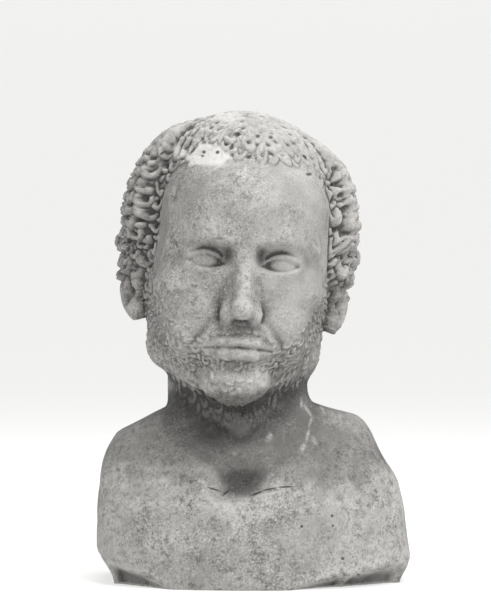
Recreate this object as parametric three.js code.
// A marble herm bust: a bearded head with short curly hair, on a neck and a bust cut flat at the back.
// Millimetres, +Z up, the face towards -Y, the origin on the flat underside below the head's axis.
//
// The bare form is a distance field, a soft union of ellipsoids and round cones. A guide surface
// wraps round it, and each vertex starts on the guide and runs inwards along a ray until the field
// is zero. The locks of hair then push the vertices out along their rays. A convex hull of the
// vertices' places on a map sphere says which of them join into triangles.

import * as THREE from "three";
import { ConvexHull } from "three/addons/math/ConvexHull.js";

// Overall sizes in mm, and the turn of the head in degrees.
const height = 400;
const bustWidth = 270;
const bustDepth = 157;
const headRoll = 4;
const headYaw = 3.5;

// The hair and the beard in mm: depth over the scalp, and the locks' spacing, size and relief.
const hairDepth = 16.5;
const crownDepth = 7;
const lockSpacing = 14.2;
const lockRadius = 11;
const lockRelief = 4.8;
const channelDepth = 1.8;
const beardDepth = 1.2;
const beardSpacing = 9;
const beardRadius = 6.6;
const beardRelief = 1.7;

// Distances between the vertices in mm, by region.
const bustMesh = 14;
const neckMesh = 10;
const skinMesh = 9;
const faceMesh = 3.7;
const beardMesh = 8;

// The form is drawn in parts of its height, 400 parts to the whole.
const PARTS = 400;
const part = height / PARTS;
const widen = bustWidth / part / 270;
const deepen = bustDepth / part / 157;

const { PI, abs, acos, asin, atan, atan2, cos, exp, floor, hypot, log, max, min, round, sin, sqrt, tan } = Math;
const { clamp, degToRad, lerp, radToDeg } = THREE.MathUtils;

function ramp(x, from, to) {
  const s = clamp((x - from) / (to - from), 0, 1);
  return s * s * (3 - 2 * s);
}

// The value at x on a line through [x, value] pairs.
function along(pairs, x) {
  if (x <= pairs[0][0]) return pairs[0][1];
  for (let i = 1; i < pairs.length; i++) {
    const [x0, v0] = pairs[i - 1];
    const [x1, v1] = pairs[i];
    if (x <= x1) return lerp(v0, v1, (x - x0) / (x1 - x0));
  }
  return pairs.at(-1)[1];
}

// A repeatable number from 0 to 1 for whole numbers.
function chance(a, b = 0, c = 0) {
  const v = sin(a * 12.9898 + b * 78.233 + c * 37.719 + 1.234) * 43758.5453;
  return v - floor(v);
}

// Distance to an ellipsoid.
function ellipsoid([x, y, z], [cx, cy, cz], [rx, ry, rz]) {
  const a = (x - cx) / rx;
  const b = (y - cy) / ry;
  const c = (z - cz) / rz;
  const k = hypot(a, b, c);
  return (k * (k - 1)) / (hypot(a / rx, b / ry, c / rz) + 1e-9);
}

// Distance to a cone with round ends, from radius ra at a to rb at b.
function cone([x, y, z], [ax, ay, az], [bx, by, bz], ra, rb) {
  const [dx, dy, dz] = [bx - ax, by - ay, bz - az];
  const [px, py, pz] = [x - ax, y - ay, z - az];
  const h = clamp((px * dx + py * dy + pz * dz) / (dx * dx + dy * dy + dz * dz), 0, 1);
  return hypot(px - h * dx, py - h * dy, pz - h * dz) - lerp(ra, rb, h);
}

// Soft union, and soft cut of one field from another, over a blend of k.
function join(a, b, k) {
  const h = max(k - abs(a - b), 0) / k;
  return min(a, b) - (h * h * k) / 4;
}
function cut(a, b, k) {
  return -join(-a, b, k);
}

// The head's own axes: it leans and turns about its middle.
const HEAD_MIDDLE = new THREE.Vector3(0, 0, 290);
const headTurn = new THREE.Matrix4()
  .makeRotationY(degToRad(headRoll))
  .multiply(new THREE.Matrix4().makeRotationZ(degToRad(headYaw)));
const headUnturn = headTurn.clone().invert();
function toHead([x, y, z]) {
  return new THREE.Vector3(x, y, z).sub(HEAD_MIDDLE).applyMatrix4(headUnturn).add(HEAD_MIDDLE).toArray();
}

// The eye's middle, the ball's radius and the lid's thickness over it.
const EYE = [31.5, -65.5, 268.5];
const EYE_RADIUS = 19;
const LID = 2.8;
const EYE_HALF = 15.5;

function eye(d, q) {
  const x = q[0] - EYE[0];
  const z = q[2] - EYE[2];
  const radius = hypot(x, q[1] - EYE[1], z);
  const u = clamp(x / EYE_HALF, -1.25, 1.25);
  const arch = 1 - u * u;
  const upper = 6.4 * arch * (1 - 0.12 * u) + 0.9 * u - 0.8;
  const lower = -4.6 * arch * (1 + 0.12 * u) + 0.9 * u - 0.8;
  const lids = -join(EYE_RADIUS + LID - radius, 21 - abs(x), 8);
  d = join(d, lids, 4);
  const crease = hypot(z - upper - 4.6, radius - EYE_RADIUS - LID - 0.4) - 1.1;
  d = cut(d, crease + clamp(abs(x) - 13, 0, 9), 2.5);
  const opening = max(z - upper, lower - z) * 0.85;
  d = cut(d, opening, 1.2);
  return min(d, radius - EYE_RADIUS);
}

// The front of the face on its own canon: brow, sockets, nose, folds, lips and eyes.
function features(d, q) {
  const brow = join(
    cone(q, [9, -89, 286], [30, -87.5, 291.5], 6, 6.5),
    cone(q, [30, -87.5, 291.5], [58, -61, 283], 6.5, 4),
    8,
  );
  d = join(d, brow, 13);
  d = cut(d, ellipsoid(q, [32, -106, 271], [25, 27, 15]), 4);
  d = cut(d, ellipsoid(q, [15, -99, 273], [8, 13, 10]), 5);
  let nose = cone(q, [0, -79, 276], [0, -90, 233], 8, 15.5);
  nose = join(nose, cone(q, [0, -86.5, 283], [0, -109, 233], 5, 6.5), 9);
  nose = join(nose, ellipsoid(q, [0, -111, 230], [9, 9.5, 8]), 6);
  nose = join(nose, ellipsoid(q, [11.8, -97.5, 226], [6, 10, 7.6]), 6);
  nose = cut(nose, ellipsoid(q, [6.4, -104, 217], [3.4, 6.5, 4.2]), 2);
  d = join(d, nose, 7);
  d = cut(d, cone(q, [20, -94, 232], [19.6, -92, 222], 1, 0.8), 5);
  d = cut(d, cone(q, [22, -93, 225], [37, -85, 203], 1.2, 0.5), 7);
  const upperLip = join(
    cone(q, [3.5, -101.8, 204.2], [15, -97.7, 202.8], 3.9, 3.6),
    cone(q, [15, -97.7, 202.8], [28, -86.5, 198.3], 3.6, 1.2),
    2,
  );
  const lowerLip = join(
    cone(q, [0, -99.2, 193.2], [12, -96.5, 193.6], 5.6, 5),
    cone(q, [12, -96.5, 193.6], [27, -86, 197.8], 5, 1.2),
    2,
  );
  d = join(join(d, upperLip, 3), lowerLip, 3.5);
  const mouthLine = join(
    cone(q, [0, -105.8, 199.2], [13, -102.2, 199], 1.3, 1.3),
    cone(q, [13, -102.2, 199], [29, -87.5, 197.2], 1.3, 0.9),
    1,
  );
  d = cut(d, mouthLine, 1.6);
  d = cut(d, cone(q, [0, -106.3, 208.5], [0, -103.7, 217], 2.2, 1.6), 3.5);
  d = cut(d, ellipsoid(q, [0, -103, 183], [19, 8, 5]), 8);
  return eye(d, q);
}

// The ear in its own axes: a along its length from back to front, b up, n out of its plane.
const EAR = [87.5, 9, 250];
const EAR_FLARE = degToRad(27);
const EAR_TILT = degToRad(10);
function ear([x, y, z]) {
  const [dx, dy, dz] = [x - EAR[0], y - EAR[1], z - EAR[2]];
  const flat = dx * sin(EAR_FLARE) + dy * cos(EAR_FLARE);
  const n = dx * cos(EAR_FLARE) - dy * sin(EAR_FLARE);
  const a = flat * cos(EAR_TILT) - dz * sin(EAR_TILT);
  const b = dz * cos(EAR_TILT) + flat * sin(EAR_TILT);
  const e = [a, b, n];
  const k = hypot(a / 14.5, b / 27) + 1e-9;
  const ring = ((k - 1) * k) / (hypot(a / 14.5 ** 2, b / 27 ** 2) + 1e-9);
  const rim = hypot(ring, n - 3) - 3.4 + clamp(-a - 6, 0, 10) * clamp(8 - b, 0, 10) * 0.2;
  let d = join(ellipsoid(e, [0, 0, -5], [16, 29, 9]), rim, 4);
  d = join(d, cone(e, [4, 15, 2.5], [7.5, -8, 3], 3, 3.2), 3);
  d = cut(d, ellipsoid(e, [-1.5, -4, 6], [7.5, 12, 8]), 3);
  d = cut(d, ellipsoid(e, [-2, 16, 6], [7, 7, 5]), 3);
  d = join(d, ellipsoid(e, [-12, -5, 2], [4, 6, 5]), 3);
  return join(d, ellipsoid(e, [-4, -27, 0.5], [8.5, 9.5, 6]), 5);
}

// The masses under the skin: middle, half sizes and how softly each joins the ones before it.
const HEAD_MASSES = [
  [[0, -30, 238], [67, 60, 82], 22],
  [[0, -36, 312], [63, 60, 50], 16],
  [[0, 6, 246], [77, 56, 50], 14],
];
const FACE_MASSES = [
  [[47, -57, 246], [21, 22, 15], 16],
  [[36, -62, 214], [21, 22, 25], 16],
  [[0, -79, 171], [26, 19, 15], 16],
  [[0, -75, 204], [31, 25, 23], 12],
];
const HAIR_OVER_EAR = [[79.5, 14, 268], [20, 32, 22]];

// The bare head, from a point in the head's axes folded on to its left half.
function bareHead(q) {
  let d = ellipsoid(q, [0, 8, 300], [83, 102, 92]);
  for (const [middle, half, blend] of HEAD_MASSES) d = join(d, ellipsoid(q, middle, half), blend);
  const jaw = join(
    cone(q, [0, -68, 175], [52, -16, 196], 20, 18),
    cone(q, [52, -16, 196], [60, 6, 240], 18, 13),
    10,
  );
  d = join(d, jaw, 16);
  for (const [middle, half, blend] of FACE_MASSES) d = join(d, ellipsoid(q, middle, half), blend);
  d = cut(d, ellipsoid(q, [88, -58, 292], [17, 24, 26]), 18);
  const [, y, z] = q;
  if (y < -48 && z < 312 && z > 150 && d < 30) d = features(d, q);
  d = join(d, ear(q), 3);
  return join(d, ellipsoid(q, ...HAIR_OVER_EAR), 9);
}

// The neck: a column, the nape, the two cords to the pit of the neck, the larynx and collar bones.
function neck(p) {
  const q = [hypot(p[0], 3), p[1], p[2]];
  let d = cone(p, [-2.5, 8, 215], [-1, 10, 100], 60, 60);
  d = join(d, ellipsoid(p, [0, 42, 222], [56, 44, 62]), 20);
  d = join(d, cone(q, [57, 6, 205], [13, -52, 92], 11, 9), 9);
  d = join(d, cone(q, [20, 50, 205], [40, 44, 118], 24, 26), 14);
  d = join(d, ellipsoid(p, [0, -44, 128], [9, 12, 16]), 12);
  return join(d, cone(q, [16, -60, 82], [88, -24, 108], 6, 5), 22);
}

// The bust's broken outline from the front, as x and z, from the neck round by the underside.
const OUTLINE = [
  [-61.5, 147], [-106, 124], [-114.5, 110.5], [-118.5, 99], [-120.5, 80], [-122.3, 52], [-123.4, 23],
  [-123, -30], [149.5, -30], [149, 21], [147, 40], [145, 61], [143, 76], [139.5, 86], [132.5, 94],
  [122, 107], [114.5, 124], [107.5, 134], [101, 139], [76, 145], [64, 149], [40, 175], [0, 185],
  [-40, 170],
];

function outlineDistance(x, z) {
  let nearest = Infinity;
  let inside = false;
  OUTLINE.forEach(([ax, az], i) => {
    const [bx, bz] = OUTLINE[(i + 1) % OUTLINE.length];
    const [ex, ez] = [bx - ax, bz - az];
    const h = clamp(((x - ax) * ex + (z - az) * ez) / (ex * ex + ez * ez), 0, 1);
    nearest = min(nearest, hypot(x - ax - ex * h, z - az - ez * h));
    if (az <= z !== bz <= z && x < ax + ((z - az) * ex) / ez) inside = !inside;
  });
  return inside ? -nearest : nearest;
}

// The bust's plan at each height: middle, half width, depth before and depth behind its widest line.
const PLAN_MIDDLE = [[0, 12], [130, -3]];
const PLAN_HALF = [[0, 141], [60, 140], [100, 133], [150, 122]];
const PLAN_FRONT = [[0, 99], [35, 98], [70, 92], [100, 80], [125, 62], [150, 46], [180, 30]];
const PLAN_BACK = [[0, 66], [90, 64], [125, 56], [160, 44], [190, 34]];
const WIDEST = 10;
const PLAN_SCALE = 75;

function bust([x, y, z]) {
  const across = x / widen;
  const u = abs(across - along(PLAN_MIDDLE, z)) / along(PLAN_HALF, z);
  const v = (y - WIDEST) / deepen / along(y < WIDEST ? PLAN_FRONT : PLAN_BACK, z);
  const power = y < WIDEST ? 2.4 : 5;
  const plan = ((u ** power + abs(v) ** power) ** (1 / power) - 1) * PLAN_SCALE;
  return cut(outlineDistance(across, z), -plan, 12);
}

// Chips broken from the lower edges, as round cones along them: both ends, and the radius at each.
const CHIPS = [
  [[-150, -120, -8], [-150, 90, -8], 44.8, 44.8],
  [[175, -120, -8], [175, 90, -8], 43, 43],
  [[-52, -92, -8], [-112, -58, -4], 8, 24],
  [[45, -92, -16], [84, -79, -14], 17.5, 23.5],
  [[104, -70, -13], [136, -54, -12], 24.5, 29],
];

// The whole bare form.
function bareForm(p) {
  const z = p[2];
  let d = Infinity;
  if (z < 292) {
    d = join(bust(p), neck(p), 5);
    d = cut(d, ellipsoid(p, [0, -82, 93], [15, 16, 14]), 22);
    const unstretched = [p[0] / widen, p[1] / deepen, z];
    for (const chip of z < 45 ? CHIPS : []) d = cut(d, cone(unstretched, ...chip), 2);
  }
  if (z > 120) {
    const [x, y, zz] = toHead(p);
    const head = bareHead([hypot(x, 1.5), y, zz]);
    d = d === Infinity ? head : join(d, head, 10);
  }
  return d;
}

// The guide: distance from the axis and height, in front, at the side and behind, from foot to crown.
const GUIDE_FRONT = [
  [98, 0], [98, 14], [97, 40], [92, 72], [76, 96], [60, 118], [56, 140], [70, 150],
  [104, 160], [112, 190], [119, 225], [112, 270], [105, 320], [82, 370], [45, 394], [0, 396],
];
const GUIDE_SIDE = [
  [138, 0], [138, 20], [136, 55], [128, 98], [112, 132], [82, 146], [66, 165], [66, 188],
  [78, 205], [88, 228], [92, 255], [94, 290], [90, 335], [75, 370], [42, 392], [0, 396],
];
const GUIDE_BACK = [
  [80, 0], [80, 15], [80, 45], [80, 80], [80, 115], [76, 140], [74, 165], [76, 190],
  [84, 212], [96, 238], [108, 268], [112, 298], [104, 340], [82, 374], [44, 393], [0, 396],
];
// How far outside the guide a ray starts, by t.
const START = [[0, 15], [0.3, 15], [0.4, 8], [0.47, 5], [0.53, 12], [0.6, 26], [1, 26]];
const SHOULDER_TOP = 130;

// A uniform cubic B-spline, with its ends led straight on, at t from 0 to 1.
function spline(points, t) {
  const last = points.length - 1;
  const s = clamp(t, 0, 1) * last;
  const i = min(floor(s), last - 1);
  const w = s - i;
  const weights = [(1 - w) ** 3, 3 * w ** 3 - 6 * w ** 2 + 4, -3 * w ** 3 + 3 * w ** 2 + 3 * w + 1, w ** 3];
  const point = (k, j) => {
    if (k < 0) return 2 * points[0][j] - points[1][j];
    if (k > last) return 2 * points[last][j] - points[last - 1][j];
    return points[k][j];
  };
  return [0, 1].map((j) => weights.reduce((sum, b, k) => sum + (b * point(i - 1 + k, j)) / 6, 0));
}

function guidePoint(theta, t) {
  const [fr, fz] = spline(GUIDE_FRONT, t);
  const [sr, sz] = spline(GUIDE_SIDE, t);
  const [br, bz] = spline(GUIDE_BACK, t);
  const c = cos(theta);
  const s = sin(theta);
  const foot = clamp(1 - sz / SHOULDER_TOP, 0, 1);
  const side = sr * lerp(1, widen, min(1, 3 * foot));
  const ahead = (c > 0 ? fr : br) * lerp(1, deepen, min(1, 3 * foot));
  const reach = 1 / hypot(s / max(side, 1e-6), c / max(ahead, 1e-6));
  const z = sz + (c > 0 ? fz - sz : bz - sz) * c * c;
  return [reach * s + 11 * foot, -reach * c, z];
}

// A ray: its start on the guide, and its direction out, square to the guide's profile.
function ray(theta, t) {
  const step = 1e-3;
  const radial = ([x, y]) => x * sin(theta) - y * cos(theta);
  const below = guidePoint(theta, max(t - step, 0));
  const above = guidePoint(theta, min(t + step, 1));
  const start = guidePoint(theta, t);
  const rise = above[2] - below[2];
  const spread = radial(above) - radial(below);
  const level = ramp(start[2], 0, 30);
  const long = hypot(rise, spread * level);
  const out = abs(rise) / long;
  return { start, out: [out * sin(theta), -out * cos(theta), (-spread * level) / long] };
}

const move = (p, out, s) => p.map((v, i) => v + s * out[i]);

// Slides a point in along its ray to the bare form.
function land({ start, out }, t) {
  let s = along(START, t);
  for (let k = 0; k < 60; k++) {
    const d = bareForm(move(start, out, s));
    if (abs(d) < 0.01) break;
    s -= 0.8 * clamp(d, -8, 30);
  }
  return move(start, out, s);
}

// The guide's side profile as a table of t, radius, length along it, and map latitude. The latitude
// grows by length over radius, so that the map sphere keeps the shapes of small triangles.
const PROFILE_STEPS = 600;
const profile = [];
for (let k = 0, length = 0, latitude = 0; k <= PROFILE_STEPS; k++) {
  const t = k / PROFILE_STEPS;
  const [radius, z] = spline(GUIDE_SIDE, t);
  if (k > 0) {
    const [radius0, z0] = spline(GUIDE_SIDE, (k - 1) / PROFILE_STEPS);
    const stretch = hypot(radius - radius0, z - z0);
    length += stretch;
    latitude += stretch / max((radius + radius0) / 2, 0.5);
  }
  profile.push({ t, radius: max(radius, 0.5), length, latitude });
}
const profileLength = profile.at(-1).length;
const tAtLength = profile.map(({ length, t }) => [length, t]);
const tAtLatitude = profile.map(({ latitude, t }) => [latitude, t]);
const latitudeAt = profile.map(({ t, latitude }) => [t, latitude]);
const radiusAt = profile.map(({ t, radius }) => [t, radius]);
const EQUATOR = along(latitudeAt, 0.72);

// A place on the guide as a point of the map sphere, and back.
function toMap({ theta, t }) {
  const polar = 2 * atan(exp(EQUATOR - along(latitudeAt, t)));
  return new THREE.Vector3(sin(polar) * sin(theta), -sin(polar) * cos(theta), cos(polar));
}
function fromMap(point) {
  const { x, y, z } = point.clone().normalize();
  const latitude = EQUATOR - log(tan(max(acos(clamp(z, -1, 1)), 1e-6) / 2));
  return { theta: atan2(x, -y), t: along(tAtLatitude, latitude) };
}

function girth(t) {
  const steps = 48;
  let sum = 0;
  let before = guidePoint(0, t);
  for (let k = 1; k <= steps; k++) {
    const here = guidePoint((2 * PI * k) / steps, t);
    sum += hypot(here[0] - before[0], here[1] - before[1], here[2] - before[2]);
    before = here;
  }
  return sum;
}

// Places in staggered rows round the guide, a spacing apart, each moved a little at random.
function rowsOfPlaces(spacing, shake) {
  const rowStep = 1.05 * spacing;
  const places = [];
  for (let row = 0; row * rowStep < profileLength; row++) {
    const length = profileLength - row * rowStep;
    const count = max(1, round(girth(along(tAtLength, length)) / spacing));
    for (let k = 0; k < count; k++) {
      const turn = (k + (row % 2) / 2 + shake * (chance(row, k) - 0.5)) / count;
      const slip = shake * rowStep * (chance(row, k, 3) - 0.5);
      const t = along(tAtLength, min(length + (row ? slip : 0), profileLength));
      places.push({ theta: turn * 2 * PI, t, key: row * 97 + k });
    }
  }
  return places;
}

// The hairline as degrees of elevation above the skull's middle, by degrees from the front.
const SKULL_MIDDLE = [0, 8, 290];
const HAIRLINE = [
  [0, 37], [10, 35.5], [22, 34], [33, 37], [43, 36], [50, 28], [56, 12], [60, -4], [64, -15], [70, -20],
  [77, -22], [84, -22], [100, -24], [105, -30], [110, -38], [130, -44], [180, -46],
];
const HAIRLINE_SOFTNESS = 4.5;
const RIGHT_DRAWN_BACK = 4;

// Where a head point lies from the skull's middle, and how many degrees inside the hairline.
function hairPlace([x, y, z]) {
  const [dx, dy, dz] = [x - SKULL_MIDDLE[0], y - SKULL_MIDDLE[1], z - SKULL_MIDDLE[2]];
  const azimuth = radToDeg(atan2(dx, -dy));
  const elevation = radToDeg(asin(dz / hypot(dx, dy, dz)));
  const a = abs(azimuth) - RIGHT_DRAWN_BACK * ramp(azimuth, 35, 50) * ramp(azimuth, 80, 70);
  const slope = (along(HAIRLINE, a + 1.5) - along(HAIRLINE, a - 1.5)) / 3;
  return { azimuth, elevation, inside: (elevation - along(HAIRLINE, a)) / hypot(1, slope) };
}

// How far a head point lies inside the beard, from 0 to 1.
const BEARD_TOP = [
  [0, 214.5], [10, 215.5], [24, 210], [31, 206], [36, 203], [44, 208], [54, 219], [62, 233], [70, 252], [76, 262],
];
const BEARD_FOOT = [[0, 122], [25, 128], [45, 146], [60, 172], [70, 190]];
function beardPlace([x, y, z]) {
  const a = abs(x);
  const lips = (a / 29) ** 2 + ((z - 198.5) / 9) ** 2;
  const chin = (a / 20) ** 2 + ((z - 180) / 9) ** 2;
  const top = ramp(along(BEARD_TOP, a) - z, -2.5, 2.5);
  const foot = ramp(z - along(BEARD_FOOT, a), -6, 34);
  return top * foot * ramp(lips, 0.85, 1.15) * (1 - ramp(y, -4, 6)) * lerp(0.7, 1, ramp(chin, 0.6, 1.4));
}

// A lock is a strand wound into a comma about its own middle, seen square on and one radius wide.
const TAIL = 0.8;
const LONG = 1.35;
const NARROW = 0.82;
const crest = (phi) => 0.5 + 0.75 * (max(-phi, 0) / TAIL) ** 1.4 - 0.25 * max(phi, 0);
function strand(x, y, wind) {
  const rho = hypot(x, y);
  const turn = ((atan2(y, x) / PI + 2) % 2);
  let best = 0;
  for (const phi of [turn - 2, turn]) {
    if (phi <= -TAIL || phi >= wind) continue;
    const width = 0.4 - 0.08 * max(phi, 0) - (0.2 * max(-phi, 0)) / TAIL;
    const s = (rho - crest(phi)) / width;
    const end = min((phi + TAIL) / 0.5, (wind - phi) / 0.3, 1);
    best = max(best, sqrt(max(1 - s * s, 0) * max(end, 0)));
  }
  return best;
}

// Locks on the guide: place, axes on the surface, size, hand and turn, for the places that belong.
function makeLocks(spacing, radius, belongs) {
  const locks = [];
  for (const { theta, t, key } of rowsOfPlaces(spacing, 0.5)) {
    const middle = guidePoint(theta, t);
    if (!belongs(toHead(middle))) continue;
    const up = new THREE.Vector3(...guidePoint(theta, min(t + 0.004, 1)))
      .sub(new THREE.Vector3(...guidePoint(theta, max(t - 0.004, 0)))).normalize();
    const side = new THREE.Vector3(cos(theta), sin(theta), 0);
    const turn = degToRad(-90 + 90 * (chance(key, 11) - 0.5));
    locks.push({
      theta, t, middle, side, up, turn,
      radius: radius * (0.8 + 0.45 * chance(key, 5)),
      hand: chance(key, 9) > 0.45 ? 1 : -1,
      wind: 0.55 + 0.5 * chance(key, 15),
      lift: 0.6 + 0.6 * chance(key, 17),
    });
  }
  return locks;
}

// A guide point in a lock's own square, in lock radii.
function inLock(lock, g) {
  const d = new THREE.Vector3(...g).sub(new THREE.Vector3(...lock.middle));
  const a = d.dot(lock.side);
  const b = d.dot(lock.up);
  const x = (a * cos(lock.turn) + b * sin(lock.turn)) / lock.radius / LONG;
  const y = (lock.hand * (b * cos(lock.turn) - a * sin(lock.turn))) / lock.radius / NARROW;
  return [x, y];
}

// The tallest strand over a guide point, from 0 to 1.2.
function carve(locks, g) {
  let rise = 0;
  for (const lock of locks) {
    const gap = hypot(g[0] - lock.middle[0], g[1] - lock.middle[1], g[2] - lock.middle[2]);
    if (gap > 1.9 * lock.radius) continue;
    const [x, y] = inLock(lock, g);
    rise = max(rise, lock.lift * strand(x, y, lock.wind));
  }
  return rise;
}

const hairLocks = makeLocks(lockSpacing, lockRadius, (q) => hairPlace(q).inside > 0.6);
const beardLocks = makeLocks(beardSpacing, beardRadius, (q) => beardPlace(q) > 0.1);

function hairPush(q, g) {
  const { azimuth, elevation, inside } = hairPlace(q);
  if (inside < -HAIRLINE_SOFTNESS) return 0;
  const turn = abs(azimuth);
  const tuft = clamp(0.5 - azimuth / 60, 0, 1);
  const high = ramp(elevation, lerp(66, 71, tuft), lerp(36, 47, tuft));
  const overEar = ramp(turn, 66, 76) * ramp(turn, 116, 104) * ramp(elevation, 3, -12);
  const beforeEar = ramp(turn, 80, 70) * ramp(elevation, 4, -20);
  const full = crownDepth + (hairDepth - crownDepth) * ramp(turn, 30, 62) * high;
  const depth = full * (1 - overEar) * (1 - 0.7 * beforeEar);
  const rim = lerp(24, 7, ramp(turn, 66, 80));
  const side = ramp(turn, 46, 62) * ramp(elevation, 50, 26);
  const amount = lerp(0.42, 1, side) * ramp(inside, -HAIRLINE_SOFTNESS, 2);
  const rise = carve(hairLocks, g);
  const relief = lockRelief * rise - channelDepth * (1 - min(rise, 1)) ** 2;
  return depth * ramp(inside, -1.5, rim) + amount * relief;
}

function beardPush(q, g) {
  const amount = beardPlace(q);
  if (amount < 0.02) return 0;
  return amount * (beardDepth + beardRelief * carve(beardLocks, g));
}

// Degrees inside the hairline from which the locks have the mesh to themselves.
const HAIR_EDGE = 4;
const BUST_TOP = 122;

// The regions of the mesh, from the guide's height at the side and a place in the head's axes.
function region(q, t) {
  const [x, y, zz] = [abs(q[0]), q[1], q[2]];
  if (spline(GUIDE_SIDE, t)[1] < BUST_TOP + 0.6 * bustMesh) return "bust";
  if (hairPlace(q).inside > HAIR_EDGE) return "hair";
  if (beardPlace(q) > 0.3) return "beard";
  const onEar = x > 60 && abs(y - EAR[1]) < 36 && zz > EAR[2] - 42;
  const onFeatures = x < 58 && y < -40 && zz > 186 && zz < 292;
  if (onEar || onFeatures) return "face";
  return y < -30 && zz > 160 ? "skin" : "neck";
}

// The bust's vertices stand in level rows and upright columns, so that its edges come out straight.
function bustPlaces() {
  const columns = round(girth(0) / bustMesh);
  const places = [];
  for (let row = 0; ; row++) {
    const t = along(tAtLength, row * 0.9 * bustMesh);
    if (spline(GUIDE_SIDE, t)[1] > BUST_TOP) return places;
    for (let k = 0; k < columns; k++) {
      places.push({ theta: ((k + 0.06 * (row % 2)) / columns) * 2 * PI, t });
    }
  }
}

function placesIn(name, spacing) {
  return rowsOfPlaces(spacing, 0.1).filter((place) => {
    return region(toHead(guidePoint(place.theta, place.t)), place.t) === name;
  });
}

// Joins points of the map sphere into triangles, as the faces of their convex hull.
function triangles(points) {
  const numbers = new Map(points.map((p, i) => [p, i]));
  return new ConvexHull().setFromPoints(points).faces.map(({ edge }) =>
    [edge, edge.next, edge.next.next].map((e) => numbers.get(e.head().point)),
  );
}

// A lock's vertices: its middle, and points along its strand.
const STRAND_POINTS = 4;
const STRAND_FROM = -0.55;
const STRAND_TO = 0.6;
function placesOfLock(lock) {
  const { theta, t, turn, hand, radius } = lock;
  const middle = toMap(lock);
  const east = new THREE.Vector3(cos(theta), sin(theta), 0);
  const north = middle.clone().cross(east);
  const scale = hypot(middle.x, middle.y) / along(radiusAt, t);
  const points = [middle];
  for (let k = 0; k < STRAND_POINTS; k++) {
    const phi = lerp(STRAND_FROM, STRAND_TO, k / (STRAND_POINTS - 1));
    const x = LONG * radius * crest(phi) * cos(phi * PI);
    const y = NARROW * hand * radius * crest(phi) * sin(phi * PI);
    const a = scale * (x * cos(turn) - y * sin(turn));
    const b = scale * (x * sin(turn) + y * cos(turn));
    points.push(middle.clone().addScaledVector(east, a).addScaledVector(north, b));
  }
  return points.map(fromMap);
}

// The valleys where three locks meet.
function valleys(locks) {
  const points = locks.map(toMap);
  const middles = locks.map(({ middle }) => new THREE.Vector3(...middle));
  const near = (a, b) => middles[a].distanceTo(middles[b]) < 1.7 * lockSpacing;
  return triangles(points)
    .filter(([a, b, c]) => near(a, b) && near(b, c) && near(c, a))
    .map(([a, b, c]) => fromMap(points[a].clone().add(points[b]).add(points[c])));
}

const places = [
  { pole: true },
  ...bustPlaces(),
  ...placesIn("neck", neckMesh),
  ...placesIn("skin", skinMesh),
  ...placesIn("face", faceMesh),
  ...placesIn("beard", beardMesh),
  ...hairLocks.flatMap(placesOfLock),
  ...valleys(hairLocks),
];

function vertex({ theta, t, pole }) {
  if (pole) return [11, 0, 0];
  const aim = ray(theta, t);
  const bare = land(aim, t);
  const q = toHead(bare);
  const above = ramp(bare[2], 100, 105);
  const push = above * (hairPush(q, aim.start) + beardPush(q, aim.start));
  return move(bare, aim.out, push);
}

const positions = places.flatMap(vertex).map((v) => v * part);
const geometry = new THREE.BufferGeometry();
geometry.setAttribute("position", new THREE.Float32BufferAttribute(positions, 3));
const mapPoints = places.map((place) => (place.pole ? new THREE.Vector3(0, 0, -1) : toMap(place)));
geometry.setIndex(triangles(mapPoints).flat());
geometry.computeVertexNormals();

const marble = new THREE.MeshStandardMaterial({ color: "#b9b5ab", roughness: 0.7, metalness: 0 });
const herm = new THREE.Mesh(geometry, marble);
herm.name = "herm";

const group = new THREE.Group();
group.add(herm);
export default group;
